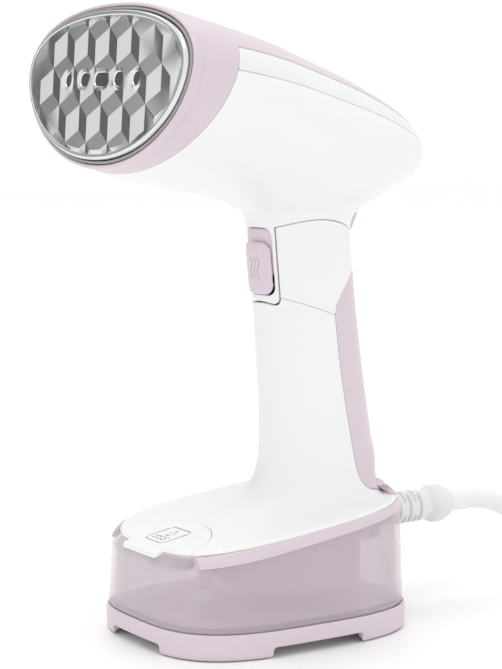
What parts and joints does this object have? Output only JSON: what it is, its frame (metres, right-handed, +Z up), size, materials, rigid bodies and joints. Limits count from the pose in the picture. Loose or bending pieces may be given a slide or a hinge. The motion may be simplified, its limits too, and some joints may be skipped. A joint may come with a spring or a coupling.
{
  "type": "garment steamer",
  "caption": "Upright hand garment steamer with a fold-down head, trigger, translucent water tank in the base and a mains cord.",
  "frame": {"origin": "on the floor, under the middle of the object without its cord", "axes": "+Z up, the steam plate faces -Y, the cord leaves towards +Y, X across; X = 0 is the mirror plane of the body"},
  "size_m": [0.1394, 0.3354, 0.2289],
  "materials": {
    "white_plastic": "satin moulded white",
    "blush_plastic": "satin moulded pale pink",
    "trim": "satin pearl grey",
    "plate": "polished steel with faceted relief",
    "silicone": "soft matte",
    "cast_metal": "as cast",
    "steel": "bright",
    "inner_plastic": "matte",
    "cord_plastic": "matte white",
    "trigger_plastic": "satin dusty pink",
    "tank": "clear tinted pink, polished",
    "rubber": "matte",
    "copper": "wound enamelled wire",
    "cord": "smooth matte white"
  },
  "bodies": {
    "base": {"latch_keeper": "steel", "hinge_collar": "white_plastic", "handle_shell": "white_plastic", "handle_rear_cover": "blush_plastic", "hinge_bracket": "steel", "hinge_pin": "steel", "water_hose": "silicone", "wiring_loom": "inner_plastic", "foot_ring": "blush_plastic", "base_plate": "cord_plastic", "rubber_foot_1": "rubber", "rubber_foot_2": "rubber", "rubber_foot_3": "rubber", "rubber_foot_4": "rubber", "base_screw_1": "steel", "base_screw_2": "steel", "tank": "tank", "filler_neck": "blush_plastic", "rim_band": "blush_plastic", "chassis": "inner_plastic", "chassis_lid": "cord_plastic", "terminal_block": "cord_plastic", "pump_body": "cord_plastic", "pump_coil": "copper", "pump_mount_1": "rubber", "pump_mount_2": "rubber", "suction_tube": "silicone", "inlet_filter": "cord_plastic", "strain_relief": "cord_plastic", "cord_lead": "cord", "cord_coil": "cord", "cord_tail": "cord", "mains_plug": "cord_plastic", "plug_pin_1": "steel", "plug_pin_2": "steel"},
    "head": {"steam_plate": "plate", "plate_gasket": "silicone", "heater_block": "cast_metal", "chamber_cover": "cast_metal", "heater_frame": "inner_plastic", "thermostat": "steel", "thermal_fuse": "cord_plastic", "steam_hose": "silicone", "front_cowl": "blush_plastic", "head_shell_left": "white_plastic", "head_shell_right": "white_plastic", "side_trim_left": "trim", "side_trim_right": "trim", "trigger_switch": "inner_plastic", "switch_bracket": "cord_plastic", "trigger_spring": "steel", "latch_spring": "steel"},
    "trigger": {"trigger": "trigger_plastic"},
    "lock": {"lock_slider": "trigger_plastic"},
    "latch": {"fold_latch": "trigger_plastic"},
    "cap": {"filler_cap": "white_plastic", "cap_seal": "silicone"},
    "plunger": {"pump_plunger": "steel"}
  },
  "joints": [
    {"name": "head_fold", "type": "hinge", "parent": "base", "child": "head", "pos_m": [0, 0.00346, 0.1294], "axis": [1, 0, 0], "range_deg": [0, 90]},
    {"name": "trigger_press", "type": "hinge", "parent": "head", "child": "trigger", "pos_m": [0, -0.00187, 0.1484], "axis": [1, 0, 0], "range_deg": [0, 2.4], "stiffness_Nm_per_rad": 0.6, "springref_deg": -5.73},
    {"name": "lock_slide", "type": "slide", "parent": "trigger", "child": "lock", "axis": [0, -0.0886, 0.9961], "range_m": [0, 0.0046]},
    {"name": "latch_slide", "type": "slide", "parent": "head", "child": "latch", "axis": [0, 0.325, 0.9457], "range_m": [0, 0.002], "stiffness_N_per_m": 400, "springref_m": -0.002},
    {"name": "cap_hinge", "type": "hinge", "parent": "base", "child": "cap", "pos_m": [0, -0.0274, 0.04144], "axis": [1, 0, 0], "range_deg": [-80, 0]},
    {"name": "pump_stroke", "type": "slide", "parent": "base", "child": "plunger", "axis": [0, -1, 0], "range_m": [0, 0.003], "stiffness_N_per_m": 300, "springref_m": -0.001}
  ]
}
